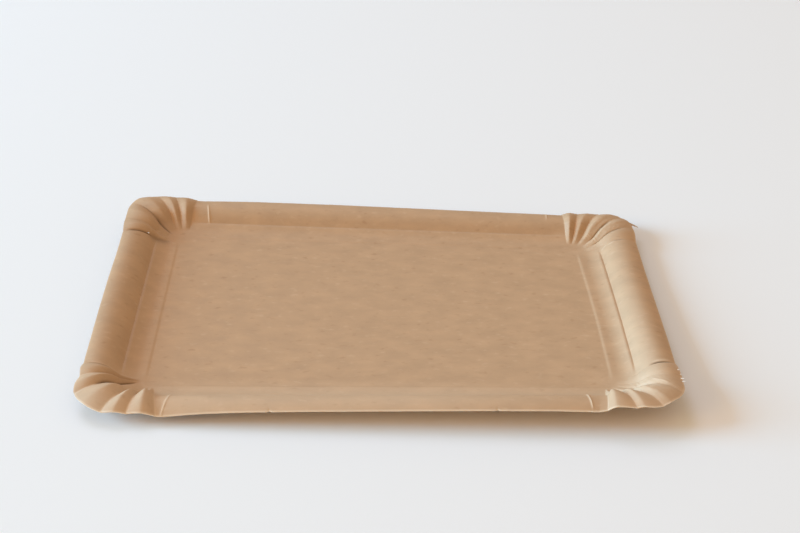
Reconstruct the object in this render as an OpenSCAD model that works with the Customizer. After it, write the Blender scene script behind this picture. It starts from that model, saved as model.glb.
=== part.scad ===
// Rectangular paper plate, pressed from one sheet of brown kraft board.
// The flat base ends in a step crease. A narrow strip curves up from there to a groove at the foot of the
// rim, and the rim rises in a short wall and rolls over and outwards. In each corner the spare board of the
// rim is gathered into a fan of flutes, with sharp folds between them. Units are millimetres, and the base
// rests on z = 0.

/* [Plate] */
// Length over the edges of the short sides
plate_length = 230; // [180:1:320]
// Width over the edges of the long sides
plate_width = 160; // [130:1:250]
// Corner radius of the outer edge
edge_corner_radius = 15; // [8:0.5:20]
// Thickness of the board
board = 0.5; // [0.3:0.05:0.8]

/* [Base] */
// Distance from the outer edge in to the step crease round the flat base
crease_inset = 24.2; // [21:0.1:30]
// Corner radius of the flat base
base_corner_radius = 3; // [1.5:0.5:8]
// Width of the step crease
crease_run = 0.9; // [0.5:0.1:1.6]
// Height of the step crease
crease_rise = 0.3; // [0.1:0.05:0.8]

/* [Strip] */
// Width of the level strip outside the step crease
level_strip = 2.1; // [1:0.1:4]
// Height that the curved strip gains on its way to the rim
strip_rise = 1.9; // [0.4:0.05:2.5]
// Width of the groove at the foot of the rim
groove_width = 0.8; // [0.5:0.1:1.4]
// Depth of the groove at the foot of the rim
groove_depth = 0.3; // [0.1:0.05:0.6]

/* [Rim] */
// Width of the rolled rim, from the groove to the edge
rim_width = 13.9; // [10:0.1:16]
// Width of the straight wall below the roll
wall_run = 1.9; // [0.5:0.1:3]
// Slope of the straight wall, in degrees
foot_slope = 50; // [35:1:65]
// Downward slope of the rim at its edge, in degrees
edge_droop = 29; // [5:1:45]

/* [Corner fans] */
// Flutes in each corner
flutes = 5; // [3:1:7]
// Distance along a long side from the corner of the plate to the first fold
fan_long = 30.5; // [21:0.5:50]
// Distance along a short side from the corner of the plate to the last fold
fan_short = 30; // [21:0.5:45]
// Distance from the step crease at which the flutes are deepest
flute_full = 15; // [12:0.5:20]
// Greatest depth of a flute
flute_depth = 1.8; // [0.5:0.1:2.5]
// Share of its depth that a flute loses at the edge
edge_ebb = 0.5; // [0:0.05:0.8]
// Height by which the edge of a fan stands above the plain rim
fan_lift = 1; // [0:0.1:2]
// Share of the fan by which its middle flutes spread at the cost of its outer ones
corner_spread = 0.02; // [0:0.005:0.06]

/* [Fineness] */
// Facets across the curved strip
strip_facets = 3; // [2:1:4]
// Facets across each flute
flute_facets = 8; // [4:2:10]
// Facets round the roll of the rim
rim_facets = 9; // [6:1:12]

/* [Hidden] */
kraft_brown = "#ba9773";

// Section of the underside, as [distance out from the step crease, height].
// The first three points lie on the coarse rings of the base, the rest on the fine rings of the rim.
strip_width = crease_inset - rim_width;
strip_start = crease_run + level_strip;
groove_height = crease_rise + strip_rise - groove_depth;
climb_run = strip_width - groove_width - strip_start;
wall_rise = wall_run * tan(foot_slope);
roll_radius = (rim_width - wall_run) / (sin(foot_slope) + sin(edge_droop));
function climb_point(share) = [strip_start + climb_run * share, crease_rise + strip_rise * share * share];
function roll_point(slope) = [
    strip_width + wall_run + roll_radius * (sin(foot_slope) - sin(slope)),
    groove_height + wall_rise + roll_radius * (cos(slope) - cos(foot_slope))
];
function roll_slope(i) = foot_slope - (foot_slope + edge_droop) * i / rim_facets;
section = concat(
    [[0, 0], [crease_run, crease_rise]],
    [for (i = [0:strip_facets]) climb_point(i / strip_facets)],
    [[strip_width, groove_height]],
    [for (i = [0:rim_facets]) roll_point(roll_slope(i))]
);
coarse_rows = 3;
last_row = len(section) - 1;

// Upward unit normal of the section at a row, and upright on the flat base
function turned(v) = [-v[1], v[0]] / norm(v);
function section_normal(row) =
    row == 0 ? [0, 1] :
    turned(section[min(row + 1, last_row)] - section[row - 1]);

// A corner fan in the first quadrant. Its share runs from 0 on the short side to 1 on the long side.
short_run = fan_short - edge_corner_radius;
arc_run = edge_corner_radius * PI / 2;
long_run = fan_long - edge_corner_radius;
fan_path = short_run + arc_run + long_run;
edge_arc_centre = [plate_length / 2 - edge_corner_radius, plate_width / 2 - edge_corner_radius];
base_arc_centre = [
    plate_length / 2 - crease_inset - base_corner_radius,
    plate_width / 2 - crease_inset - base_corner_radius
];
function unit(angle) = [cos(angle), sin(angle)];
function edge_point(run) =
    run < short_run ? [plate_length / 2, plate_width / 2 - fan_short + run] :
    run < short_run + arc_run ? edge_arc_centre + edge_corner_radius * unit(90 * (run - short_run) / arc_run) :
    [plate_length / 2 - fan_long + fan_path - run, plate_width / 2];
function fan_run(share) = fan_path * (share - corner_spread * sin(360 * share));
function crease_point(share) = base_arc_centre + base_corner_radius * unit(90 * share);

// Flutes grow from nothing at the strip to their full depth and ebb towards the edge, between sharp folds
function share_between(x, start, end) = max(0, min(1, (x - start) / (end - start)));
function depth_share(distance) =
    share_between(distance, strip_start, flute_full)
    * (1 - edge_ebb * share_between(distance, flute_full, crease_inset));
function hump(share) = abs(sin(180 * flutes * share));

// The whole fan stands up from its two end folds within a part of the first flute
stand_span = 0.7;
function stand(share) = 1 - pow(1 - min(1, flutes * min(share, 1 - share) / stand_span), 2);

// One point of the sheet, lifted off the underside by a share of the board's thickness
function sheet_point(row, share, lift) =
    let (
        distance = section[row][0],
        flute = flute_depth * depth_share(distance) * hump(share),
        swell = fan_lift * share_between(distance, strip_start, crease_inset) * stand(share),
        bent = section[row] + section_normal(row) * (flute + swell + board * lift),
        start = crease_point(share),
        finish = edge_point(fan_run(share)),
        plan = start + (finish - start) * bent[0] / crease_inset
    )
    [plan[0], plan[1], bent[1]];

// A ring of points round the plate, counter-clockwise, with a number of steps in each corner fan
function in_quadrant(p, q) = [(q == 0 || q == 3 ? 1 : -1) * p[0], (q < 2 ? 1 : -1) * p[1], p[2]];
function ring(row, steps, lift) = [
    for (q = [0:3], i = [0:steps])
        in_quadrant(sheet_point(row, (q % 2 == 0 ? i : steps - i) / steps, lift), q)
];
fan_facets = flutes * flute_facets;
coarse_count = 4 * (flutes + 1);
fine_count = 4 * (fan_facets + 1);
function skin_points(lift) = [
    for (row = [0:last_row]) each ring(row, row < coarse_rows ? flutes : fan_facets, lift)
];
function row_start(row) =
    row <= coarse_rows ? row * coarse_count : coarse_rows * coarse_count + (row - coarse_rows) * fine_count;
skin_size = row_start(last_row + 1);

// Triangles between two rings with the same number of points, seen clockwise from above
function band(inner, outer, count) = [
    for (k = [0:count - 1])
        let (next = (k + 1) % count)
        each [[inner + k, inner + next, outer + next], [inner + k, outer + next, outer + k]]
];

// Triangles from the last coarse ring to the first fine ring
function fine_column(k) = floor(k / (flutes + 1)) * (fan_facets + 1) + (k % (flutes + 1)) * flute_facets;
function joining_band(inner, outer) = [
    for (k = [0:coarse_count - 1])
        let (
            next = (k + 1) % coarse_count,
            first = fine_column(k),
            span = k % (flutes + 1) < flutes ? flute_facets : 1,
            half = floor(span / 2)
        )
        each concat(
            [[inner + k, inner + next, outer + first + half]],
            [
                for (i = [0:span - 1])
                    [
                        inner + (i < half ? k : next),
                        outer + (first + i + 1) % fine_count,
                        outer + first + i
                    ]
            ]
        )
];
function skin_faces() = concat(
    [for (row = [0:coarse_rows - 2]) each band(row_start(row), row_start(row + 1), coarse_count)],
    joining_band(row_start(coarse_rows - 1), row_start(coarse_rows)),
    [for (row = [coarse_rows:last_row - 1]) each band(row_start(row), row_start(row + 1), fine_count)]
);
function shifted(faces, by) = [for (f = faces) [for (i = f) i + by]];
function reversed(faces) = [for (f = faces) [for (i = [len(f) - 1:-1:0]) f[i]]];

// The flat base, up to the step crease
module base_panel() {
    linear_extrude(board)
        polygon([for (p = ring(0, flutes, 0)) [p[0], p[1]]]);
}

// The formed border round the base: its underside, its upper side and the two cut edges between them
module formed_border() {
    polyhedron(
        points = concat(skin_points(0), skin_points(1)),
        faces = concat(
            reversed(skin_faces()),
            shifted(skin_faces(), skin_size),
            band(skin_size + row_start(last_row), row_start(last_row), fine_count),
            band(0, skin_size, coarse_count)
        )
    );
}

// The whole sheet
module plate() {
    color(kraft_brown)
        union() {
            base_panel();
            formed_border();
        }
}

plate();
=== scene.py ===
"""Rectangular kraft paper plate: one pressed sheet of board with pleated corners, torn fibres and a stage."""
import math

import bpy
import numpy as np
from bpy.props import FloatProperty, FloatVectorProperty, PointerProperty
from bpy.types import Operator, Panel, PropertyGroup
from mathutils import Matrix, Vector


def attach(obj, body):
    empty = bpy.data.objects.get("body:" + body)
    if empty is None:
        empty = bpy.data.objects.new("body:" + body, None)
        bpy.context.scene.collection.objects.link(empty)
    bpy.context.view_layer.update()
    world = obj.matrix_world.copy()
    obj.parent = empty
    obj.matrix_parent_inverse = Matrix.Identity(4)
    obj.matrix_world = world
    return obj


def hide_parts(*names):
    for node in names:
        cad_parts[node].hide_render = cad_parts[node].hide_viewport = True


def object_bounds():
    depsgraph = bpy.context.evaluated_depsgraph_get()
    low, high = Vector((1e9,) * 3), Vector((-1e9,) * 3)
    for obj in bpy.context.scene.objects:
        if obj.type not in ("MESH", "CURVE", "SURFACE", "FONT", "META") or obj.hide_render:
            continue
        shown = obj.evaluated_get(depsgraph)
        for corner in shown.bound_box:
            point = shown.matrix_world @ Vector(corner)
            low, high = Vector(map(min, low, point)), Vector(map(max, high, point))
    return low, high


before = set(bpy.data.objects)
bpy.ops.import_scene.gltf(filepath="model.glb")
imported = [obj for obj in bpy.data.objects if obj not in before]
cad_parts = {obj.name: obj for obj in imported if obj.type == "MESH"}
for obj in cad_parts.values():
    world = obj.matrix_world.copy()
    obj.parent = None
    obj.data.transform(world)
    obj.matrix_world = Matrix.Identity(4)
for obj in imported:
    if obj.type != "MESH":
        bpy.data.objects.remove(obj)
CAD_LOW, CAD_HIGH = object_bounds()

bl_info = {
    "name": "Kraft paper plate",
    "version": (1, 0, 0),
    "blender": (4, 5, 0),
    "location": "3D View > Sidebar > Paper plate",
    "description": "Builds a pressed board plate with pleated corners, its torn fibres and its stage",
    "category": "Object",
}

MM = 0.001

# How far the flutes of the solid stand out beyond its straight edges
FLUTE_OVERHANG = 1.0125 * MM

# Columns of the sheet: flutes in a fan, and steps in a flute, along a long side, across a slit and a nick
FLUTES = 5
FLUTE_STEPS = 21
LONG_STEPS = 18
SLIT_STEPS = 25
NICK_STEPS = 7
# Columns beside a fan's end: the first step, how many times wider each next one is, and how many there are on
# half of a short side and at each end of a long side
END_STEP, END_GROWTH = 0.3 * MM, 1.5
SHORT_STEPS = 13
END_STEPS = 4

# Rows of the sheet: on the flat base, then the end of each stretch of the section in mm with its steps
BASE_ROWS = 8
ROW_STRETCHES = ((0.9, 2), (3.1, 11), (6.9, 7), (10.7, 8), (13.1, 12))
ROLL_STEPS = 22

# The four corner fans. Folds lie at shares of the fan from the short side to the long side, depths scale the
# flutes between them, crest is the place of a flute's crest between its folds, start, in mm from the step
# crease, is where the flutes begin, ebb is the share of their depth that they lose at the edge, and lift, in
# mm, is how far the fan stands above the plain rim at the edge. Shift, in mm, moves the corner of the base
# outwards, and bows, in mm, is how far each fold bends aside towards the short side.
NO_BOWS = (0.0,) * (FLUTES + 1)
FANS = {
    "back_right": {
        "folds": (0.09, 0.30, 0.48, 0.67, 0.85, 1.00), "depths": (0.60, 0.80, 0.80, 0.70, 0.80),
        "crest": 0.55, "start": 4.5, "ebb": 0.65, "lift": 0.8,
        "shift": (-1.6, 0.7), "bows": NO_BOWS,
    },
    "back_left": {
        "folds": (-0.06, 0.13, 0.40, 0.65, 0.80, 0.99), "depths": (0.60, 0.90, 0.90, 0.75, 0.90),
        "crest": 0.50, "start": 5.5, "ebb": 0.85, "lift": 0.9,
        "shift": (0.0, 0.0), "bows": NO_BOWS,
    },
    "front_left": {
        "folds": (0.045, 0.20, 0.37, 0.65, 0.82, 1.02), "depths": (0.70, 1.10, 1.30, 1.20, 1.30),
        "crest": 0.50, "start": 2.0, "ebb": 0.50, "lift": 0.6,
        "shift": (0.0, 0.0), "bows": (0.0, 1.5, 2.5, 0.3, 0.0, 0.0),
    },
    "front_right": {
        "folds": (-0.055, 0.18, 0.355, 0.60, 0.79, 0.99), "depths": (0.20, 0.30, 0.90, 1.00, 1.10),
        "crest": 0.74, "start": 2.0, "ebb": 0.50, "lift": 1.2,
        "shift": (0.0, 0.0), "bows": NO_BOWS,
    },
}
# Folds that are shut or gape, pressed in and painted dark as shade: corner, fold, where they start and end in
# mm from the step crease, how dark their painted shade is, how many times the usual width, and how pale the
# painted highlight on their lips is
SHUT_FOLDS = (
    ("front_left", 0, 3.0, 23.0, 0.50, 1.0, 0.5),
    ("front_left", 1, 8.0, 20.0, 0.15, 1.0, 0.0),
    ("front_left", 2, 3.0, 18.0, 0.95, 1.8, 0.0),
    ("front_right", 0, 14.5, 23.2, 1.00, 1.5, 1.4),
    ("front_right", 2, 9.0, 16.0, 0.25, 1.0, 0.8),
    ("back_left", 0, 11.0, 22.8, 0.80, 1.0, 0.0),
    ("back_left", 0, 3.0, 14.0, 0.35, 5.0, 0.0),
    ("back_left", 2, 4.0, 15.0, 0.55, 2.0, 0.0),
    ("back_left", 2, 10.0, 21.0, 0.30, 1.2, 0.0),
    ("back_right", 0, 14.0, 21.0, 0.30, 1.0, 0.3),
    ("back_right", 1, 7.0, 21.0, 0.55, 1.0, 0.5),
    ("back_right", 2, 8.0, 19.0, 0.60, 1.2, 0.5),
)
# Distance over which a shut fold fades in and out, and the square of how many times wider its lips are
FOLD_FADE = 3 * MM
LIP_SPREAD = 5
# How handling has bent the rim, at angles round the plate on a square scale, anticlockwise from +X in
# degrees: how far its edge is moved up and how far out, in mm
BENDS = (
    (0, -1.6, 1.3), (20, -1.4, 1.1), (38, -0.3, 0.9), (44.5, 0.3, 0.7), (49, -0.9, 0.2),
    (53, -0.9, 0.0), (56, -0.9, 0.0), (73, -0.6, 0.0), (100, -0.2, 0.0), (118, -0.4, 0.0),
    (125.5, -1.1, 0.0), (130, -0.6, 0.0), (133, -0.3, 0.0), (136, 0.7, 0.2), (140, 0.8, -0.5),
    (145, 1.2, -0.4), (161, 1.5, -0.6), (180, 1.8, -0.2), (215, 1.4, -0.5), (218, 0.9, -0.8),
    (221, 0.0, 0.6), (225, -0.8, 0.0), (231, -1.8, 0.0), (234.8, -2.7, 0.0), (239.5, -1.3, 0.0),
    (246, -0.7, 0.0), (256, -0.4, 0.0), (270, -0.3, 0.0), (289, -0.2, 0.0), (300.5, -0.4, 0.0),
    (303, -0.7, 0.0), (305.5, -0.9, 0.0), (307.5, 0.1, 0.0), (312, -0.4, -0.4), (315.5, -0.3, -0.7),
    (319, -0.6, 0.2), (323, -0.9, 0.8), (340, -1.4, 1.3), (360, -1.6, 1.3),
)
# Share of a flute over which a fan stands up from the plain rim
STAND_SPAN = 0.7

# Slits pressed across the long rims and creases in the crushed corners, as plan points in mm at their outer
# and inner ends, with their strength and how many times the usual width
SLITS = (
    ((-82.0, -82.0), (-78.7, -68.2), 1.0, 1.0),
    ((79.6, -78.6), (78.3, -69.3), 1.0, 1.0),
    ((-79.6, 73.0), (-78.5, 66.3), 1.0, 1.0),
    ((77.5, 79.0), (77.0, 73.0), 0.6, 1.0),
    ((109.8, -65.0), (105.5, -60.8), 0.8, 1.7),
    ((106.6, -66.3), (102.3, -62.6), 0.8, 1.7),
    ((104.3, -61.7), (100.1, -62.0), 0.5, 1.5),
    ((102.8, 53.4), (100.7, 51.8), 0.4, 1.5),
    ((106.0, 53.7), (103.1, 52.5), 0.4, 1.5),
)
# How far a slit fades at its ends, and where on each half of a long side the close columns for slits lie
SLIT_FADE = 0.4 * MM
SLIT_CENTRE = 79.5 * MM
SLIT_SPAN = 7.0 * MM
# Nicks in the front edge, in mm from the middle, the width of the close columns for each, and the share of
# the way from the full flutes to the edge at which they start
NICKS = (-41.0, 44.0)
NICK_SPAN = 2.4 * MM
NICK_START = 0.85
# Crinkles of the crushed corners: their places in plan and their spread in mm, and two waves with their turn
# per mm along X and along Y, and how far and how fast they waver. The second wave fades the ridges of the
# first about a mean.
CRINKLE_PLACES = ((103.0, -66.0, 9.0), (103.0, 66.0, 9.0))
RIDGE_WAVE = (1.9, 1.1, 1.5, 0.5)
FADE_WAVE = (1.2, -1.7, 1.3, 0.7)
FADE_MEAN, FADE_SWING = 0.6, 0.4

# How far the fibres of the underside lie from those of the upper face on the blank, in metres
UNDERSIDE_SHIFT = 1.0


def millimetres(name, description, value):
    """A length property whose default is given in millimetres."""
    return FloatProperty(name=name, description=description, default=value * MM, unit="LENGTH", precision=5)


def degrees(name, description, value):
    """An angle property whose default is given in degrees."""
    return FloatProperty(name=name, description=description, default=math.radians(value), subtype="ANGLE")


def colour(name, description, value):
    """A colour property whose default is given as sRGB levels from 0 to 255."""
    return FloatVectorProperty(
        name=name, description=description, default=linear(value), subtype="COLOR", size=3, min=0, max=1
    )


def linear(levels):
    """Linear colour of sRGB levels: a straight part below 4 percent, then a power of 2.4."""
    shares = [level / 255 for level in levels]
    return tuple(s / 12.92 if s <= 0.04045 else ((s + 0.055) / 1.055) ** 2.4 for s in shares)


class PlateSizes(PropertyGroup):
    """Sizes of the pressed sheet, which follow the solid that it stands for"""

    length: FloatProperty(
        name="Length", description="Length over the edges of the short sides", unit="LENGTH",
        default=CAD_HIGH.x - CAD_LOW.x - 2 * FLUTE_OVERHANG,
    )
    width: FloatProperty(
        name="Width", description="Width over the edges of the long sides", unit="LENGTH",
        default=CAD_HIGH.y - CAD_LOW.y - 2 * FLUTE_OVERHANG,
    )
    edge_corner_radius: millimetres("Edge corner radius", "Corner radius of the outer edge", 15)
    board: millimetres("Board", "Thickness of the board", 0.5)
    crease_inset: millimetres("Crease inset", "Distance from the edge in to the step crease", 24.2)
    base_corner_radius: millimetres("Base corner radius", "Corner radius of the flat base", 3)
    crease_run: millimetres("Crease run", "Width of the step crease", 0.9)
    crease_rise: millimetres("Crease rise", "Height of the step crease", 0.3)
    level_strip: millimetres("Level strip", "Width of the level strip outside the step crease", 2.1)
    strip_rise: millimetres("Strip rise", "Height that the curved strip gains", 1.9)
    groove_width: millimetres("Groove width", "Width of the groove at the foot of the rim", 1.0)
    groove_depth: millimetres("Groove depth", "Depth of the groove at the foot of the rim", 0.22)
    rim_width: millimetres("Rim width", "Width of the rolled rim, from the groove to the edge", 13.9)
    wall_run: millimetres("Wall run", "Width of the straight wall below the roll", 1.9)
    foot_slope: degrees("Foot slope", "Slope of the straight wall", 50)
    edge_droop: degrees("Edge droop", "Downward slope of the rim at its edge", 29)
    press_softness: millimetres("Press softness", "Spread of the pressed creases", 0.27)
    fan_softness: millimetres("Fan softness", "Spread of the creases where they run into a corner fan", 1.8)
    fan_reach: millimetres("Fan reach", "Distance from a fan over which its softer creases fade", 5)
    fan_long: millimetres("Fan on the long side", "Distance from the corner to the first fold", 30.5)
    fan_short: millimetres("Fan on the short side", "Distance from the corner to the last fold", 30)
    flute_full: millimetres("Flute full", "Distance from the step crease at which they are deepest", 15)
    flute_depth: millimetres("Flute depth", "Greatest depth of a flute", 1.8)
    crest_power: FloatProperty(
        name="Crest power", default=1.4,
        description="Shape of a flute's crest: 1 a sharp ridge, 2 a round arch",
    )


class HandlingMarks(PropertyGroup):
    """What pressing, stacking and handling left on the sheet"""

    twist: millimetres("Twist", "Height that opposite corners of the edge gain or lose", 2.667)
    slit_height: millimetres("Slit height", "Height of the lip beside a pressed slit", 0.3)
    slit_width: millimetres("Slit width", "Width of the lip beside a pressed slit", 0.26)
    fold_depth: millimetres("Shut fold depth", "Depth of a shut fold", 0.7)
    fold_width: millimetres("Shut fold width", "Width of a shut fold at the edge", 0.45)
    nick_depth: millimetres("Nick depth", "Depth of the nicks in the front edge", 0.5)
    nick_width: millimetres("Nick width", "Width of the nicks in the front edge", 0.45)
    crinkle: millimetres("Crinkle", "Height of the crinkles in the crushed corners", 0.4)


class BoardColours(PropertyGroup):
    """Colours of the board, of its cut places, of the painted sheen and highlights with some crease
    whitening, and of the painted shade
    """

    kraft: colour("Kraft", "Face of the board", (194, 157, 121))
    fleck: colour("Dark fleck", "Dark fibres in the face", (172, 132, 95))
    pale_fleck: colour("Pale fleck", "Pale fibres in the face", (214, 181, 147))
    # Painted shade: the dark colour mixed into the shut folds
    gap: colour("Gap", "Depth of a shut fold", (74, 49, 30))
    # Painted sheen and highlights on the rim, folds, slit lips and cut, and some crease whitening
    sheen_and_wear: colour("Worn board", "Board that rubbing, a fold or a slit has paled", (240, 215, 185))
    raw_edge: colour("Raw edge", "Cut edge of the board", (240, 216, 188))
    torn: colour("Torn fibre", "Fibres torn out of the edge", (252, 243, 232))


class StageSettings(PropertyGroup):
    """Camera, floor and light"""

    camera_place: FloatVectorProperty(
        name="Camera place", description="Place of the camera", subtype="TRANSLATION", unit="LENGTH",
        default=(-4.804 * MM, -513.898 * MM, 326.645 * MM),
    )
    camera_pitch: degrees("Camera pitch", "Angle of the view below the horizon", 30.548)
    camera_yaw: degrees("Camera yaw", "Angle of the view to the right of the plate's width", 1.414)
    camera_roll: degrees("Camera roll", "Turn of the frame about the view", -1.790)
    lens: FloatProperty(name="Lens", description="Focal length on a 36 mm frame, in mm", default=64.79)
    floor: colour("Floor", "Plain pale floor", (244, 244, 244))
    room: FloatVectorProperty(
        name="Room", description="Even light of the room, warm", subtype="COLOR", size=3,
        default=(0.55, 0.435, 0.29),
    )


# Lamps, each with azimuth from +X and elevation in degrees, width and height in metres, and the light that it
# gives a white face turned to it
LAMPS = {
    "window": (181, 16, 1.4, 1.9, (0.52, 1.13, 1.68)),
    "side_lamp": (210, 24, 1.2, 1.4, (0.26, 0.15, 0.05)),
    "back_lamp": (120, 52, 1.7, 1.7, (0.14, 0.16, 0.22)),
    "front_lamp": (300, 52, 1.7, 1.7, (0.03, 0.02, 0.03)),
}
LAMP_DISTANCE = 3.5
# Half the length of the floor in metres and its roughness, and of the camera the width of its frame in mm and
# the nearest distance that it sees in metres
FLOOR_REACH = 4.0
FLOOR_ROUGHNESS = 0.9
SENSOR_WIDTH = 36
NEAREST_VIEW = 0.01


def unit(angle):
    """Plan directions at angles from +X, in radians."""
    return np.stack([np.cos(angle), np.sin(angle)], axis=-1)


def edge_plan(sizes, share):
    """Outer edge in the first quadrant at shares of the fan: up the short side, round the corner arc by run
    over radius, and back along the long side."""
    radius = sizes.edge_corner_radius
    short_run = sizes.fan_short - radius
    arc_run = radius * math.pi / 2
    run = share * (short_run + arc_run + sizes.fan_long - radius)
    centre = np.array([sizes.length / 2 - radius, sizes.width / 2 - radius])
    before = np.minimum(run - short_run, 0)
    after = np.maximum(run - short_run - arc_run, 0)
    arc = radius * unit(np.clip((run - short_run) / radius, 0, math.pi / 2))
    return centre + arc + np.stack([-after, before], axis=-1)


def crease_plan(sizes, share):
    """Outline of the flat base in the first quadrant: a quarter arc round the base's corner."""
    inset = sizes.crease_inset + sizes.base_corner_radius
    centre = np.array([sizes.length / 2 - inset, sizes.width / 2 - inset])
    return centre + sizes.base_corner_radius * unit(share * math.pi / 2)


def fan_columns(sizes, corner, side):
    """Columns of one corner fan from the short side to the long side. A flute's arch falls away from its
    crest by the crest power of the way to a fold. The fan stands up from its end folds by a square law, and
    its folds bow aside at right angles to their columns."""
    fan = FANS[corner]
    phase = np.arange(FLUTES * FLUTE_STEPS + 1) / FLUTE_STEPS
    flute = np.minimum(phase.astype(int), FLUTES - 1)
    within = phase - flute
    climb = np.minimum(within / fan["crest"], (1 - within) / (1 - fan["crest"]))
    arch = 1 - (1 - climb) ** sizes.crest_power
    share = np.interp(phase, np.arange(FLUTES + 1), fan["folds"])
    inward = np.clip(np.minimum(phase, FLUTES - phase) / STAND_SPAN, 0, 1)
    crease = crease_plan(sizes, share) + np.array(fan["shift"]) * MM
    edge = edge_plan(sizes, share)
    depth = np.array(fan["depths"])[flute]
    even = np.ones(len(phase))
    line = edge - crease
    aside = np.stack([line[:, 1], -line[:, 0]], axis=-1) / np.linalg.norm(line, axis=1, keepdims=True)
    bow = np.interp(phase, np.arange(FLUTES + 1), fan["bows"])[:, None] * MM * aside
    return {
        "crease": crease * side,
        "edge": edge * side,
        "bow": bow * side,
        "hump": arch * depth,
        "fold": (1 - arch) * np.minimum(depth, 1),
        "stand": fan["lift"] * MM * (1 - (1 - inward) ** 2),
        "start": fan["start"] * MM * even,
        "ebb": fan["ebb"] * even,
        "ease": even,
    }


def straight_columns(sizes, first, last, shares, fans_at):
    """Columns between two columns, at shares of the way from the first to the last. Their creases ease off in
    a bell towards the fans that lie at the given ends."""
    t = shares[:, None]
    edge = first["edge"] + (last["edge"] - first["edge"]) * t
    nearest = np.min([np.linalg.norm(edge - fan["edge"], axis=1) for fan in fans_at], axis=0)
    return {
        "crease": first["crease"] + (last["crease"] - first["crease"]) * t,
        "edge": edge,
        "bow": np.zeros(edge.shape),
        **dict.fromkeys(("hump", "fold", "stand", "start", "ebb"), np.zeros(len(shares))),
        "ease": np.exp(-((nearest / sizes.fan_reach) ** 2)),
    }


def column(columns, index):
    """One column out of many."""
    return {name: values[index] for name, values in columns.items()}


def middle_column(sizes, side):
    """The column at the middle of a short side."""
    reach = np.array([side * sizes.length / 2, 0])
    return {"crease": reach - [side * sizes.crease_inset, 0], "edge": reach}


def short_shares(half_length):
    """Shares from the middle of a short side to its fan, with steps that shrink towards the fan."""
    return 1 - END_STEP * END_GROWTH ** np.arange(SHORT_STEPS)[::-1] / half_length


def long_shares(start, end):
    """Shares along a long side: even steps, and close ones near the fans, the slits and the nicks."""
    even = np.linspace(0, 1, LONG_STEPS + 1)[1:-1]
    slit = np.linspace(-SLIT_SPAN / 2, SLIT_SPAN / 2, SLIT_STEPS)
    nick = np.linspace(-NICK_SPAN / 2, NICK_SPAN / 2, NICK_STEPS)
    beside = END_STEP * END_GROWTH ** np.arange(END_STEPS)
    places = [c * SLIT_CENTRE + slit for c in (-1, 1)] + [n * MM + nick for n in NICKS]
    places += [start - beside, end + beside]
    marked = (np.concatenate(places) - start) / (end - start)
    return np.sort(np.concatenate([even, marked]))


def half_ring(sizes, right_corner, left_corner, depth_side):
    """Columns of the half of the plate behind or before its middle, from the right to the left."""
    right = fan_columns(sizes, right_corner, np.array([1, depth_side]))
    left = fan_columns(sizes, left_corner, np.array([-1, depth_side]))
    left = {name: values[::-1] for name, values in left.items()}
    right_start, right_end = column(right, 0), column(right, -1)
    left_start, left_end = column(left, 0), column(left, -1)
    along = long_shares(right_end["edge"][0], left_start["edge"][0])
    rising = short_shares(abs(right_start["edge"][1]))
    falling = 1 - short_shares(abs(left_end["edge"][1]))[::-1]
    parts = [
        straight_columns(sizes, middle_column(sizes, 1), right_start, rising, [right_start]),
        right,
        straight_columns(sizes, right_end, left_start, along, [right_end, left_start]),
        left,
        straight_columns(sizes, left_end, middle_column(sizes, -1), falling, [left_end]),
    ]
    return {name: np.concatenate([part[name] for part in parts]) for name in right}


def ring_columns(sizes):
    """All columns, counter-clockwise from the middle of the right side."""
    back = half_ring(sizes, "back_right", "back_left", 1)
    front = half_ring(sizes, "front_right", "front_left", -1)
    return {name: np.concatenate([back[name], front[name][::-1]]) for name in back}


# The section: how far it leads in over the flat base, the points on its climb and on its roll, the step at
# which it is blurred, and how many times the softness the blur reaches
SECTION_LEAD = 1.5 * MM
CLIMB_POINTS = 12
ROLL_POINTS = 60
SECTION_STEP = 0.04 * MM
BLUR_REACH = 3.5


def sharp_section(sizes):
    """Section of the underside as pressed by a sharp tool, as points of distance out from the step crease and
    height: the step, the level strip, the strip that climbs by a square law, the straight wall and the arc of
    the roll."""
    strip_width = sizes.crease_inset - sizes.rim_width
    strip_start = sizes.crease_run + sizes.level_strip
    climb_run = strip_width - sizes.groove_width - strip_start
    groove_height = sizes.crease_rise + sizes.strip_rise - sizes.groove_depth
    wall_top = groove_height + sizes.wall_run * math.tan(sizes.foot_slope)
    roll_width = sizes.rim_width - sizes.wall_run
    roll_radius = roll_width / (math.sin(sizes.foot_slope) + math.sin(sizes.edge_droop))
    slope = np.linspace(sizes.foot_slope, -sizes.edge_droop, ROLL_POINTS)
    t = np.linspace(0, 1, CLIMB_POINTS)
    return np.concatenate([
        [(-SECTION_LEAD, 0), (0, 0), (sizes.crease_run, sizes.crease_rise)],
        np.stack([strip_start + climb_run * t, sizes.crease_rise + sizes.strip_rise * t ** 2], axis=-1),
        [(strip_width, groove_height)],
        np.stack([
            strip_width + sizes.wall_run + roll_radius * (math.sin(sizes.foot_slope) - np.sin(slope)),
            wall_top + roll_radius * (np.cos(slope) - math.cos(sizes.foot_slope)),
        ], axis=-1),
    ])


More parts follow.
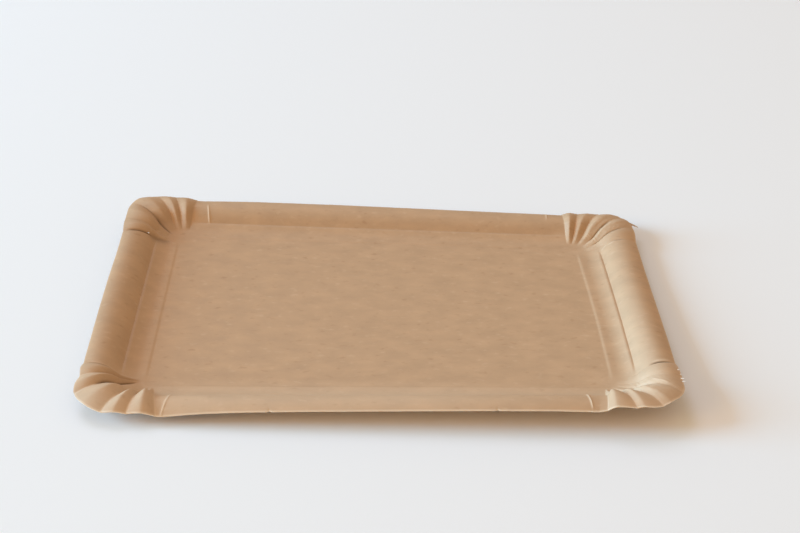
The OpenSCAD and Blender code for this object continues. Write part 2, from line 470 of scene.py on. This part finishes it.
def section_rows(sizes, softness):
    """The section, blurred along the board by a bell curve of the softness. Gives distance out from the
    crease, height, upward normal and length along the board for each row."""
    sharp = sharp_section(sizes)
    run = np.concatenate([[0], np.cumsum(np.linalg.norm(np.diff(sharp, axis=0), axis=1))])
    fine = np.arange(0, run[-1], SECTION_STEP)
    reach = int(BLUR_REACH * softness / SECTION_STEP)
    bell = np.exp(-0.5 * (np.arange(-reach, reach + 1) * SECTION_STEP / softness) ** 2)
    soft = np.stack([
        np.convolve(np.pad(np.interp(fine, run, values), reach, "reflect", reflect_type="odd"),
                    bell / bell.sum(), "valid")
        for values in sharp.T
    ], axis=-1)
    tangent = np.gradient(soft, axis=0)
    tangent /= np.linalg.norm(tangent, axis=1, keepdims=True)
    ends = [0] + [end * MM for end, _ in ROW_STRETCHES]
    places = [
        np.linspace(first, last, steps, endpoint=False)
        for first, last, (_, steps) in zip(ends, ends[1:], ROW_STRETCHES)
    ]
    place = np.concatenate(places + [np.linspace(ends[-1], fine[-1], ROLL_STEPS + 1)])
    values = {
        "out": soft[:, 0], "height": soft[:, 1], "normal_out": -tangent[:, 1], "normal_up": tangent[:, 0],
    }
    rows = {name: np.interp(place, fine, value) for name, value in values.items()}
    return rows | {"run": place - SECTION_LEAD}


def eased_section(sizes, columns):
    """The section at every row and column: crisp on the straight sides and softer in the corner fans."""
    crisp = section_rows(sizes, sizes.press_softness)
    soft = section_rows(sizes, sizes.fan_softness)
    return {
        name: crisp[name][:, None] + (soft[name] - crisp[name])[:, None] * columns["ease"]
        for name in crisp
    }


def share_between(values, start, end):
    """How far values lie from start to end, from 0 to 1."""
    return np.clip((values - start) / (end - start), 0, 1)


# Makes a bow 1 where it is widest
BOW_SCALE = 256 / 27


def plan_points(sizes, columns, out):
    """Plan places at distances out along the columns, which run straight but for a bow. The bow is the share
    of the way times the cube of the rest, scaled to 1 where it is widest, a quarter of the way out."""
    way = (columns["edge"] - columns["crease"]) / sizes.crease_inset
    share = share_between(out, 0, sizes.crease_inset)
    arc = BOW_SCALE * share * (1 - share) ** 3
    return columns["crease"] + way * out[..., None] + columns["bow"] * arc[..., None]


def slit_lip(marks, plan):
    """Lip of the pressed slits: a bell across each slit's line, faded out beyond its ends. Gives a share."""
    lip = np.zeros(plan.shape[:-1])
    for edge, foot, strength, widening in SLITS:
        start = np.array(foot) * MM
        line = np.array(edge) * MM - start
        length = np.linalg.norm(line)
        line /= length
        offset = plan - start
        along = offset @ line
        across = offset @ np.array([-line[1], line[0]])
        fade = 1 / (1 + np.exp(-along / SLIT_FADE)) / (1 + np.exp((along - length) / SLIT_FADE))
        lip = np.maximum(lip, strength * np.exp(-(across / (widening * marks.slit_width)) ** 2) * fade)
    return lip


def crinkles(plan):
    """Small sharp wrinkles of the crushed corners, in a bell round each place: a sine wave folded into
    ridges, which a second wave of another slant fades. Gives a share."""
    share = np.zeros(plan.shape[:-1])
    turn_x, turn_y, waver, pace = RIDGE_WAVE
    fade_x, fade_y, fade_waver, fade_pace = FADE_WAVE
    for place_x, place_y, reach in CRINKLE_PLACES:
        offset = plan / MM - [place_x, place_y]
        x, y = offset[..., 0], offset[..., 1]
        bell = np.exp(-((offset ** 2).sum(-1)) / reach ** 2)
        ridge = np.sin(turn_x * x + turn_y * y + waver * np.sin(pace * y))
        fade = np.sin(fade_x * x + fade_y * y + fade_waver * np.sin(fade_pace * x))
        share += bell * (1 - np.abs(ridge)) * (FADE_MEAN + FADE_SWING * fade)
    return share


def settled(sizes, marks, points):
    """The sheet as it lies: twisted by the product of its plan coordinates, and lifted until the low corners
    of the base touch the floor."""
    x = points[..., 0] / (sizes.length / 2)
    y = points[..., 1] / (sizes.width / 2)
    base = 1 - 2 * sizes.crease_inset / np.array([sizes.length, sizes.width])
    moved = points.copy()
    moved[..., 2] += marks.twist * (base.prod() - x * y)
    return moved


def shut_folds(sizes, marks, columns, out):
    """Shut or gaping folds of the fans: a bell across each fold, faded in and out along it, and the lips
    beside it, which are a wider bell less that one. Gives the two shares: the first presses the folds in and
    is the painted shade in them, the second is the painted highlight on their lips."""
    depth, lips = np.zeros(out.shape), np.zeros(out.shape)
    for corner, fold, first, last, dark, widening, lip in SHUT_FOLDS:
        side = np.array([1 if "right" in corner else -1, 1 if "back" in corner else -1])
        place = edge_plan(sizes, np.array(FANS[corner]["folds"][fold])) * side
        across = np.linalg.norm(columns["edge"] - place, axis=1)
        square = (across / (widening * marks.fold_width)) ** 2
        first, last = first * MM, last * MM
        along = share_between(out, first, first + FOLD_FADE) * share_between(out, last, last - FOLD_FADE)
        depth = np.maximum(depth, dark * np.exp(-square) * along)
        lips = np.maximum(lips, lip * (np.exp(-square / LIP_SPREAD) - np.exp(-square)) * along)
    return depth, lips


def bends(sizes, columns, out):
    """How far handling has bent the rim up and out. Both grow from the foot of the rim to its edge by a
    square law and lead evenly from one angle of the table to the next."""
    x, y = columns["edge"].T
    angle = np.degrees(np.arctan2(y / sizes.width, x / sizes.length)) % 360
    places, up, outward = np.array(BENDS).T
    share = share_between(out, sizes.crease_inset - sizes.rim_width, sizes.crease_inset) ** 2
    return [np.interp(angle, places, move) * MM * share for move in (up, outward)]


# Half the length and half the width of the innermost ring of the base
INNER_REACH = np.array([45.0, 28.0]) * MM


def inner_ring(count):
    """Innermost ring of the base: an ellipse with even steps of angle, the same on both sides of its
    spine."""
    angle = 2 * math.pi * (np.arange(count) + 0.5) / count
    return unit(angle) * INNER_REACH


def with_base(rim):
    """Rows of the flat base, which lead straight from the innermost ring to the first row of the rim, and
    then the rim's own rows."""
    share = np.linspace(0, 1, BASE_ROWS, endpoint=False)[:, None, None]
    inner = np.concatenate([inner_ring(rim.shape[1]), rim[0, :, 2:]], axis=-1)
    return np.concatenate([inner + (rim[0] - inner) * share, rim])


def sheet_grid(sizes, marks, columns, lift):
    """One skin of the sheet as a grid of rows and columns. On the rim, a point lies on its column at the
    section's distance out and height, moved along the section's normal by the fan's stand, the flutes, the
    slits, the shut folds, the crinkles and its share of the board. Bends and nicks then move it."""
    rows = eased_section(sizes, columns)
    out = rows["out"]
    flat = plan_points(sizes, columns, out)
    reach = np.sin(math.pi / 2 * share_between(out, columns["start"], sizes.flute_full))
    beyond = share_between(out, sizes.flute_full, sizes.crease_inset)
    push = (
        columns["stand"] * share_between(out, columns["start"], sizes.crease_inset)
        + sizes.flute_depth * columns["hump"] * reach * (1 - columns["ebb"] * beyond)
        + marks.slit_height * slit_lip(marks, flat)
        - marks.fold_depth * shut_folds(sizes, marks, columns, out)[0]
        + marks.crinkle * crinkles(flat) * reach
        + sizes.board * lift
    )
    x, y = columns["edge"].T
    nicks = np.array(NICKS)[:, None] * MM
    notch = np.exp(-(((x - nicks) / marks.nick_width) ** 2)).sum(0) * (y < 0)
    bent_up, bent_out = bends(sizes, columns, out)
    moved = out + rows["normal_out"] * push + bent_out
    moved -= marks.nick_depth * notch * share_between(beyond, NICK_START, 1)
    height = rows["height"] + rows["normal_up"] * push + bent_up
    rim = np.concatenate([plan_points(sizes, columns, moved), height[..., None]], axis=-1)
    return settled(sizes, marks, with_base(rim))


def blank_grid(sizes, columns):
    """Where each point lay on the flat blank: the base as it is, and the rim unrolled along its columns."""
    rows = eased_section(sizes, columns)
    way = (columns["edge"] - columns["crease"]) / sizes.crease_inset
    return with_base(columns["crease"] + way * rows["run"][..., None])


def strip_quads(count):
    """Quads that close a ring of so many points across its spine, from one end to the other."""
    k = np.arange(count // 2 - 1)
    return np.stack([k, k + 1, count - 2 - k, count - 1 - k], axis=-1)


def skin_quads(row_count, column_count):
    """Quads of one skin, counter-clockwise from above: bands between rings, and the strip that closes the
    innermost ring."""
    inner = np.arange((row_count - 1) * column_count).reshape(row_count - 1, column_count)
    after = np.roll(inner, -1, axis=1)
    bands = np.stack([inner, inner + column_count, after + column_count, after], axis=-1)
    return np.concatenate([bands.reshape(-1, 4), strip_quads(column_count)])


def new_object(name, data):
    """An object at the origin, linked to the scene."""
    item = bpy.data.objects.new(name, data)
    bpy.context.scene.collection.objects.link(item)
    return item


def new_mesh_object(name, points, quads):
    """A mesh object at the origin from points and quads, shaded smooth."""
    mesh = bpy.data.meshes.new(name)
    mesh.vertices.add(len(points))
    mesh.vertices.foreach_set("co", points.astype(np.float32).ravel())
    mesh.loops.add(quads.size)
    mesh.loops.foreach_set("vertex_index", quads.astype(np.int32).ravel())
    mesh.polygons.add(len(quads))
    mesh.polygons.foreach_set("loop_start", np.arange(0, quads.size, 4, dtype=np.int32))
    mesh.update(calc_edges=True)
    if mesh.validate():
        raise RuntimeError(f"{name}: the mesh had faults")
    mesh.shade_smooth()
    return new_object(name, mesh)


def set_uv(mesh, name, plane_points):
    """A UV map that gives each corner the plane point of its vertex."""
    corner = np.empty(len(mesh.loops), dtype=np.int32)
    mesh.loops.foreach_get("vertex_index", corner)
    layer = mesh.uv_layers.new(name=name)
    layer.uv.foreach_set("vector", plane_points[corner].astype(np.float32).ravel())


def set_share(mesh, name, values):
    """A float attribute on the vertices."""
    layer = mesh.attributes.new(name, "FLOAT", "POINT")
    layer.data.foreach_set("value", values.astype(np.float32).ravel())


def sharpen_rings(mesh, rings):
    """Marks as sharp the edges that lie within one of the rings, each a range of vertices."""
    ends = np.empty(2 * len(mesh.edges), dtype=np.int32)
    mesh.edges.foreach_get("vertices", ends)
    ends = ends.reshape(-1, 2)
    sharp = np.zeros(len(ends), dtype=bool)
    for first, last in rings:
        sharp |= ((ends >= first) & (ends < last)).all(axis=1)
    layer = mesh.attributes.new("sharp_edge", "BOOLEAN", "EDGE")
    layer.data.foreach_set("value", sharp)


def add_node(tree, kind, links=None, **settings):
    """A shader node with settings, and with its sockets set to values or linked to other sockets."""
    node = tree.nodes.new("ShaderNode" + kind)
    for name, value in settings.items():
        setattr(node, name, value)
    for name, value in (links or {}).items():
        socket = node.inputs[name]
        if isinstance(value, bpy.types.NodeSocket):
            tree.links.new(value, socket)
        else:
            socket.default_value = value
    return node


def stretched_noise(tree, vector, along, across, detail):
    """Noise whose spots are so many per metre along the board's grain and across it."""
    scaled = add_node(tree, "Mapping", {"Vector": vector, "Scale": (along, across, across)})
    links = {"Vector": scaled.outputs[0], "Scale": 1.0, "Detail": detail}
    return add_node(tree, "TexNoise", links).outputs[0]


def weighted(tree, first, weight, second=None):
    """first times weight, plus second where there is one."""
    links = {0: first, 1: weight}
    if second is None:
        return add_node(tree, "Math", links, operation="MULTIPLY").outputs[0]
    links[2] = second
    return add_node(tree, "Math", links, operation="MULTIPLY_ADD").outputs[0]


def mixed(tree, share, first, second):
    """The first colour, mixed with the second by a share."""
    node = add_node(tree, "Mix", {"Factor": share, 6: first, 7: second}, data_type="RGBA")
    return node.outputs[2]


def spread(tree, value, low, high, to_low, to_high):
    """A value moved from one range to another, and held within it."""
    return add_node(tree, "MapRange", {0: value, 1: low, 2: high, 3: to_low, 4: to_high}).outputs[0]


# Noises of the board: spots per metre along the grain and across it, and their detail
MOTTLE, STREAK, GRAIN = (90, 150, 4.0), (240, 600, 2.0), (1500, 2600, 2.0)
FLECKS = (230, 420, 1.0)
# Shares of the first three in the tone of the board
MOTTLE_SHARE, STREAK_SHARE, GRAIN_SHARE = 0.76, 0.12, 0.12
# Ranges of the fleck noise that make pale flecks and dark ones, with their share at the two ends
PALE_RANGE = (0.62, 0.80, 0, 0.35)
DARK_RANGE = (0.36, 0.20, 0, 0.50)
# Middle of the tone, and its range with the roughness of the board at the two ends
MIDDLE_TONE = 0.5
ROUGHNESS_RANGE = (0.3, 0.7, 0.54, 0.68)


def kraft_fibre_group():
    """Node group of the board's fibres: a cloudy mottle, short streaks and fine grain shade the colour, and
    one more noise strews pale flecks where it is high and dark ones where it is low."""
    name = "kraft_fibres"
    if name in bpy.data.node_groups:
        return bpy.data.node_groups[name]
    tree = bpy.data.node_groups.new(name, "ShaderNodeTree")
    for side, label, kind in (
        ("INPUT", "Vector", "Vector"), ("INPUT", "Board", "Color"), ("INPUT", "Dark", "Color"),
        ("INPUT", "Pale", "Color"), ("INPUT", "Contrast", "Float"),
        ("OUTPUT", "Color", "Color"), ("OUTPUT", "Height", "Float"), ("OUTPUT", "Roughness", "Float"),
    ):
        tree.interface.new_socket(label, in_out=side, socket_type="NodeSocket" + kind)
    given = tree.nodes.new("NodeGroupInput")
    vector = given.outputs["Vector"]
    tone = weighted(tree, stretched_noise(tree, vector, *GRAIN), GRAIN_SHARE)
    tone = weighted(tree, stretched_noise(tree, vector, *STREAK), STREAK_SHARE, tone)
    tone = weighted(tree, stretched_noise(tree, vector, *MOTTLE), MOTTLE_SHARE, tone)
    centred = add_node(tree, "Math", {0: tone, 1: MIDDLE_TONE}, operation="SUBTRACT").outputs[0]
    value = weighted(tree, centred, given.outputs["Contrast"], 1.0)
    shaded = add_node(tree, "HueSaturation", {"Color": given.outputs["Board"], "Value": value})
    flecks = stretched_noise(tree, vector, *FLECKS)
    paled = mixed(tree, spread(tree, flecks, *PALE_RANGE), shaded.outputs[0], given.outputs["Pale"])
    flecked = mixed(tree, spread(tree, flecks, *DARK_RANGE), paled, given.outputs["Dark"])
    result = tree.nodes.new("NodeGroupOutput")
    tree.links.new(flecked, result.inputs["Color"])
    tree.links.new(tone, result.inputs["Height"])
    tree.links.new(spread(tree, tone, *ROUGHNESS_RANGE), result.inputs["Roughness"])
    return tree


def new_material(name):
    """A node material with its Principled shader and nothing else linked to it."""
    material = bpy.data.materials.new(name)
    material.use_nodes = True
    return material, material.node_tree, material.node_tree.nodes["Principled BSDF"]


def fibres(tree, vector, board, dark, pale, contrast):
    """The fibre group, placed in a material."""
    links = {"Vector": vector, "Contrast": contrast}
    links |= {"Board": (*board, 1), "Dark": (*dark, 1), "Pale": (*pale, 1)}
    return add_node(tree, "Group", links, node_tree=kraft_fibre_group())


# Contrast of the fibres and strength of their bump, on the face and on torn board, the height of the bump,
# and the roughness of torn board
FACE_CONTRAST, FACE_BUMP = 0.45, 0.35
TORN_CONTRAST, TORN_BUMP = 0.4, 0.8
BUMP_HEIGHT = 0.05 * MM
TORN_ROUGHNESS = 0.85


def bumped(tree, shader, height, strength):
    """Links a height to the shader's normal through a bump."""
    bump = add_node(tree, "Bump", {"Height": height, "Strength": strength, "Distance": BUMP_HEIGHT})
    tree.links.new(bump.outputs[0], shader.inputs["Normal"])


def board_material(colours):
    """Face of the board: fibres along the grain of the flat blank, paler where sheen, highlights and crease
    whitening are painted, and with painted shade in the shut folds."""
    material, tree, shader = new_material("kraft_board_face")
    sheet = add_node(tree, "UVMap", uv_map="sheet")
    fibre = fibres(tree, sheet.outputs[0], colours.kraft, colours.fleck, colours.pale_fleck, FACE_CONTRAST)
    # Painted sheen and highlights, with some crease whitening
    sheen_and_wear_share = add_node(tree, "Attribute", attribute_name="sheen_and_wear_share")
    sheen_and_wear = mixed(tree, sheen_and_wear_share.outputs["Fac"], fibre.outputs["Color"], (*colours.sheen_and_wear, 1))
    # Painted shade in the shut folds
    gap = add_node(tree, "Attribute", attribute_name="gap")
    tree.links.new(mixed(tree, gap.outputs["Fac"], sheen_and_wear, (*colours.gap, 1)), shader.inputs["Base Color"])
    tree.links.new(fibre.outputs["Roughness"], shader.inputs["Roughness"])
    bumped(tree, shader, fibre.outputs["Height"], FACE_BUMP)
    return material


def torn_material(name, colours, tint):
    """Cut edge, torn fibres and slivers of the board: its fibres in a tint of their own, and rougher."""
    material, tree, shader = new_material(name)
    place = add_node(tree, "TexCoord")
    fibre = fibres(tree, place.outputs["Object"], tint, colours.kraft, colours.sheen_and_wear, TORN_CONTRAST)
    tree.links.new(fibre.outputs["Color"], shader.inputs["Base Color"])
    shader.inputs["Roughness"].default_value = TORN_ROUGHNESS
    bumped(tree, shader, fibre.outputs["Height"], TORN_BUMP)
    return material


# How much painted sheen the front rim gets: distance out from the step crease in mm, and the share on its
# left and on its right. The turn from the one to the other is given at places along the front in mm.
FRONT_SHEEN = (
    (0.6, 0.050, 0.000), (1.5, 0.145, 0.080), (7.0, 0.220, 0.140), (12.0, 0.240, 0.165), (14.0, 0.200, 0.060),
    (19.0, 0.190, 0.015), (24.2, 0.165, 0.000),
)
SHEEN_TURN = ((15.0, 0.0), (70.0, 1.0), (82.0, 1.0), (87.0, 0.2))
# Where the front and the right side begin and are reached, and over what stretch the painted sheen on the
# right wall grows stronger, as shares of the width or the length from the middle
FRONT_STRETCH = (0.25, 0.5)
RIGHT_STRETCH = (0.4, 0.5)
WALL_STRETCH = (-0.1, 0.35)
# Where the painted sheen on the right wall begins, starts to fade and ends, in distances from the crease to
# the rim's foot
WALL_START, WALL_FADE, WALL_END = 0.5, 1.6, 2.1
# Shares of paint, and how much is added towards the front: painted sheen on the right wall, painted
# highlight and crease whitening on folds, and painted highlight beside the cut
WALL_SHEEN, WALL_SHEEN_FRONT = 0.06, 0.14
FOLD_HIGHLIGHT_AND_WEAR, FOLD_HIGHLIGHT_AND_WEAR_FRONT = 0.15, 0.2
CUT_HIGHLIGHT, CUT_HIGHLIGHT_FRONT = 0.25, 0.45
# How near to a fold its pale line starts, and the shares of paleness on crinkles and of painted highlight
# on the lips of slits
FOLD_LINE = 0.75
CRINKLE_PALENESS = 0.5
SLIT_LIP_HIGHLIGHT = 0.95


def painted_sheen_and_wear(sizes, marks, columns):
    """How pale the rim's upper face is painted at each point: painted sheen on the front rim and the right
    wall, a thin line on every fold that grows towards the edge, both painted highlight and crease whitening,
    the crinkles, painted highlights on the lips of the slits and of the shut folds, and a painted highlight
    on the last row beside the cut."""
    out = eased_section(sizes, columns)["out"]
    flat = plan_points(sizes, columns, out)
    x, y = columns["edge"].T
    foot = sizes.crease_inset - sizes.rim_width
    front = share_between(-y / sizes.width, *FRONT_STRETCH)
    right = share_between(x / sizes.length, *RIGHT_STRETCH)
    line = share_between(columns["fold"], FOLD_LINE, 1) ** 2
    folds = (FOLD_HIGHLIGHT_AND_WEAR + FOLD_HIGHLIGHT_AND_WEAR_FRONT * front) * line
    folds = folds * share_between(out, columns["start"], sizes.crease_inset)
    # Painted sheen on the front rim
    places, *sheens = np.array(FRONT_SHEEN).T
    left_sheen, right_sheen = [np.interp(out, places * MM, rub) for rub in sheens]
    turn_places, turn = np.array(SHEEN_TURN).T
    front_sheen = left_sheen + (right_sheen - left_sheen) * np.interp(x, turn_places * MM, turn)
    # Painted sheen on the right wall
    wall = WALL_SHEEN + WALL_SHEEN_FRONT * share_between(-y / sizes.width, *WALL_STRETCH)
    wall = wall * share_between(out, WALL_START * foot, foot)
    wall = wall * share_between(out, WALL_END * foot, WALL_FADE * foot)
    rim = front_sheen * front + wall * right + folds
    rim = np.maximum(rim, CRINKLE_PALENESS * np.clip(crinkles(flat), 0, 1) ** 2)
    rim = np.maximum(rim, SLIT_LIP_HIGHLIGHT * slit_lip(marks, flat))
    rim = np.maximum(rim, shut_folds(sizes, marks, columns, out)[1])
    # Painted highlight on the last row beside the cut
    rim[-1] = np.maximum(rim[-1], CUT_HIGHLIGHT + CUT_HIGHLIGHT_FRONT * front)
    return rim


def painted_shade_share(sizes, marks, columns):
    """Painted shade of the shut folds on the rim's upper face at each point: how deep in a shut fold it lies.
    """
    return shut_folds(sizes, marks, columns, eased_section(sizes, columns)["out"])[0]


class PAPER_PLATE_OT_board_sheet(Operator):
    """Builds the pressed sheet of board, which stands for the plate's solid"""

    bl_idname = "paper_plate.board_sheet"
    bl_label = "Board sheet"

    def execute(self, context):
        scene = context.scene
        sizes, marks, colours = scene.paper_plate_sizes, scene.paper_plate_marks, scene.paper_plate_colours
        columns = ring_columns(sizes)
        under = sheet_grid(sizes, marks, columns, 0)
        upper = sheet_grid(sizes, marks, columns, 1)
        row_count, column_count = under.shape[:2]
        skin = row_count * column_count
        top = skin_quads(row_count, column_count)
        bottom = top[:, ::-1] + skin
        k = np.arange(skin - column_count, skin)
        after = np.roll(k, -1)
        rim = np.stack([k + skin, after + skin, after, k], axis=-1)
        points = np.concatenate([upper.reshape(-1, 3), under.reshape(-1, 3)])
        piece = new_mesh_object("board_sheet", points, np.concatenate([top, bottom, rim]))
        mesh = piece.data
        blank = blank_grid(sizes, columns).reshape(-1, 2)
        set_uv(mesh, "sheet", np.concatenate([blank, blank + [0, UNDERSIDE_SHIFT]]))
        # Pale paint for sheen, highlights and crease whitening, and dark paint for the shade in the shut
        # folds
        for name, share in (("sheen_and_wear_share", painted_sheen_and_wear), ("gap", painted_shade_share)):
            values = np.zeros((2, row_count, column_count))
            values[0, BASE_ROWS:] = share(sizes, marks, columns)
            set_share(mesh, name, values)
        sharpen_rings(mesh, ((skin - column_count, skin), (2 * skin - column_count, 2 * skin)))
        mesh.materials.append(board_material(colours))
        mesh.materials.append(torn_material("kraft_board_raw_edge", colours, colours.raw_edge))
        slot = np.zeros(len(mesh.polygons), dtype=np.int32)
        slot[-column_count:] = 1
        mesh.polygons.foreach_set("material_index", slot)
        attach(piece, "root")
        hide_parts("plate")
        return {"FINISHED"}


# Torn fibres and slivers: root in mm in plan, height in mm above the floor, heading in degrees from +X,
# length and width in mm, and curl, the share of its length by which the tip turns up. The first ones are
# slivers of the face, tinted with the dark fleck colour as painted shade.
TORN_FIBRES = (
    ((114.6, 71.6), 6.9, -42, 6.2, 1.7, -0.03),
    ((114.8, 70.2), 6.9, -30, 3.6, 1.2, 0.05),
    ((115.4, -53.8), 10.7, 20, 1.0, 0.8, 0.30),
    ((115.6, -57.4), 10.8, 30, 0.9, 0.5, 0.30),
    ((115.8, -59.8), 10.9, -10, 1.4, 0.9, 0.25),
    ((115.9, -62.0), 10.9, 10, 1.4, 0.9, 0.25),
    ((114.9, -65.6), 10.3, -20, 1.2, 0.7, 0.20),
    ((-103.8, 48.2), 9.9, -30, 0.9, 0.5, 0.10),
)
# How many of them are slivers, the rings and sides of each, its height as a share of its width, and the least
# share of its width that is left at its tip
SLIVERS = 2
FIBRE_RINGS = 9
FIBRE_SIDES = 8
FIBRE_FLATNESS = 0.35
FIBRE_TIP = 0.05


def torn_fibre(root, height, heading, length, width, curl):
    """Rings of one torn fibre: an ellipse swept along its heading, whose width falls by a square root to a
    small share at the tip, which turns up by a square law."""
    t = np.linspace(0, 1, FIBRE_RINGS)[:, None]
    angle = 2 * math.pi * np.arange(FIBRE_SIDES) / FIBRE_SIDES
    ahead = unit(math.radians(heading))
    across = np.array([-ahead[1], ahead[0]])
    half = width / 2 * np.maximum(np.sqrt(1 - t), FIBRE_TIP)
    plan = root + (t * length)[..., None] * ahead + (half * np.cos(angle))[..., None] * across
    rise = height + curl * length * t ** 2 + FIBRE_FLATNESS * half * np.sin(angle)
    return np.concatenate([plan, rise[..., None]], axis=-1) * MM


class PAPER_PLATE_OT_torn_fibres(Operator):
    """Adds the fibres that stand out where the corners are torn"""

    bl_idname = "paper_plate.torn_fibres"
    bl_label = "Torn fibres"

    def execute(self, context):
        colours = context.scene.paper_plate_colours
        rings = np.array([torn_fibre(np.array(root), *rest) for root, *rest in TORN_FIBRES])
        index = np.arange(rings[..., 0].size).reshape(rings.shape[:-1])
        after = np.roll(index, -1, axis=-1)
        tubes = np.stack([index[:, :-1], index[:, 1:], after[:, 1:], after[:, :-1]], axis=-1).reshape(-1, 4)
        cap = strip_quads(FIBRE_SIDES)
        roots = index[:, 0][:, cap].reshape(-1, 4)
        tips = index[:, -1][:, cap[:, ::-1]].reshape(-1, 4)
        piece = new_mesh_object("torn_fibres", rings.reshape(-1, 3), np.concatenate([tubes, roots, tips]))
        piece.data.materials.append(torn_material("kraft_board_torn_fibre", colours, colours.torn))
        # Slivers take the dark fleck colour as painted shade
        piece.data.materials.append(torn_material("kraft_board_sliver_painted_shade", colours, colours.fleck))
        sliver = np.arange(len(rings)) < SLIVERS
        slot = [np.repeat(sliver, len(faces) // len(rings)) for faces in (tubes, roots, tips)]
        piece.data.polygons.foreach_set("material_index", np.concatenate(slot).astype(np.int32))
        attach(piece, "root")
        return {"FINISHED"}


class PAPER_PLATE_OT_stage(Operator):
    """Sets up the floor, the light and the camera"""

    bl_idname = "paper_plate.stage"
    bl_label = "Stage"

    def execute(self, context):
        scene = context.scene
        stage = scene.paper_plate_stage
        self.floor(stage)
        self.light(scene, stage)
        self.camera(scene, stage)
        scene.view_settings.view_transform = "Standard"
        return {"FINISHED"}

    def floor(self, stage):
        """A wide pale sheet that the plate stands on."""
        mesh = bpy.data.meshes.new("floor")
        corners = [(x * FLOOR_REACH, y * FLOOR_REACH, 0) for x, y in ((-1, -1), (1, -1), (1, 1), (-1, 1))]
        mesh.from_pydata(corners, [], [(0, 1, 2, 3)])
        material, _, shader = new_material("pale_floor")
        shader.inputs["Base Color"].default_value = (*stage.floor, 1)
        shader.inputs["Roughness"].default_value = FLOOR_ROUGHNESS
        mesh.materials.append(material)
        floor = new_object("floor", mesh)

    def light(self, scene, stage):
        """Soft lamps round the plate, the window on the left being the main one, and the even light of the
        room. A lamp's power is its light times the square of pi and of its distance."""
        for name, (azimuth, elevation, width, height, light) in LAMPS.items():
            lamp = bpy.data.lights.new(name, "AREA")
            lamp.shape = "RECTANGLE"
            lamp.size, lamp.size_y = width, height
            lamp.energy = max(light) * (math.pi * LAMP_DISTANCE) ** 2
            lamp.color = [part / max(light) for part in light]
            holder = new_object(name, lamp)
            holder.matrix_world = (
                Matrix.Rotation(math.radians(azimuth + 90), 4, "Z")
                @ Matrix.Rotation(math.radians(90 - elevation), 4, "X")
                @ Matrix.Translation((0, 0, LAMP_DISTANCE))
            )
        world = bpy.data.worlds.new("room")
        world.use_nodes = True
        scene.world = world
        background = world.node_tree.nodes["Background"]
        background.inputs["Color"].default_value = (*stage.room, 1)
        background.inputs["Strength"].default_value = 1

    def camera(self, scene, stage):
        """The photograph's view: yaw about the upright, pitch below the horizon, roll about the view."""
        lens = bpy.data.cameras.new("view")
        lens.sensor_width = SENSOR_WIDTH
        lens.lens = stage.lens
        lens.clip_start = NEAREST_VIEW
        camera = new_object("view", lens)
        camera.matrix_world = (
            Matrix.Translation(stage.camera_place)
            @ Matrix.Rotation(-stage.camera_yaw, 4, "Z")
            @ Matrix.Rotation(math.pi / 2 - stage.camera_pitch, 4, "X")
            @ Matrix.Rotation(-stage.camera_roll, 4, "Z")
        )
        scene.camera = camera


class VIEW3D_PT_paper_plate(Panel):
    """Lists the plate's pieces and settings in the sidebar"""

    bl_label = "Paper plate"
    bl_idname = "VIEW3D_PT_paper_plate"
    bl_space_type = "VIEW_3D"
    bl_region_type = "UI"
    bl_category = "Paper plate"

    def draw(self, context):
        for operator in OPERATORS:
            self.layout.operator(operator.bl_idname)
        for name, group in SETTINGS.items():
            box = self.layout.box()
            box.label(text=group.__doc__)
            for field in group.__annotations__:
                box.prop(getattr(context.scene, name), field)


SETTINGS = {
    "paper_plate_sizes": PlateSizes,
    "paper_plate_marks": HandlingMarks,
    "paper_plate_colours": BoardColours,
    "paper_plate_stage": StageSettings,
}
OPERATORS = (PAPER_PLATE_OT_board_sheet, PAPER_PLATE_OT_torn_fibres, PAPER_PLATE_OT_stage)
CLASSES = (*SETTINGS.values(), *OPERATORS, VIEW3D_PT_paper_plate)


def register():
    """Registers the classes and hangs the settings on the scene."""
    for cls in CLASSES:
        bpy.utils.register_class(cls)
    for name, group in SETTINGS.items():
        setattr(bpy.types.Scene, name, PointerProperty(type=group))


def unregister():
    """Takes the settings and the classes away again."""
    for name in SETTINGS:
        delattr(bpy.types.Scene, name)
    for cls in reversed(CLASSES):
        bpy.utils.unregister_class(cls)


def main():
    """Builds the plate and its stage."""
    register()
    bpy.ops.paper_plate.board_sheet()
    bpy.ops.paper_plate.torn_fibres()
    bpy.ops.paper_plate.stage()


if __name__ == "__main__":
    main()
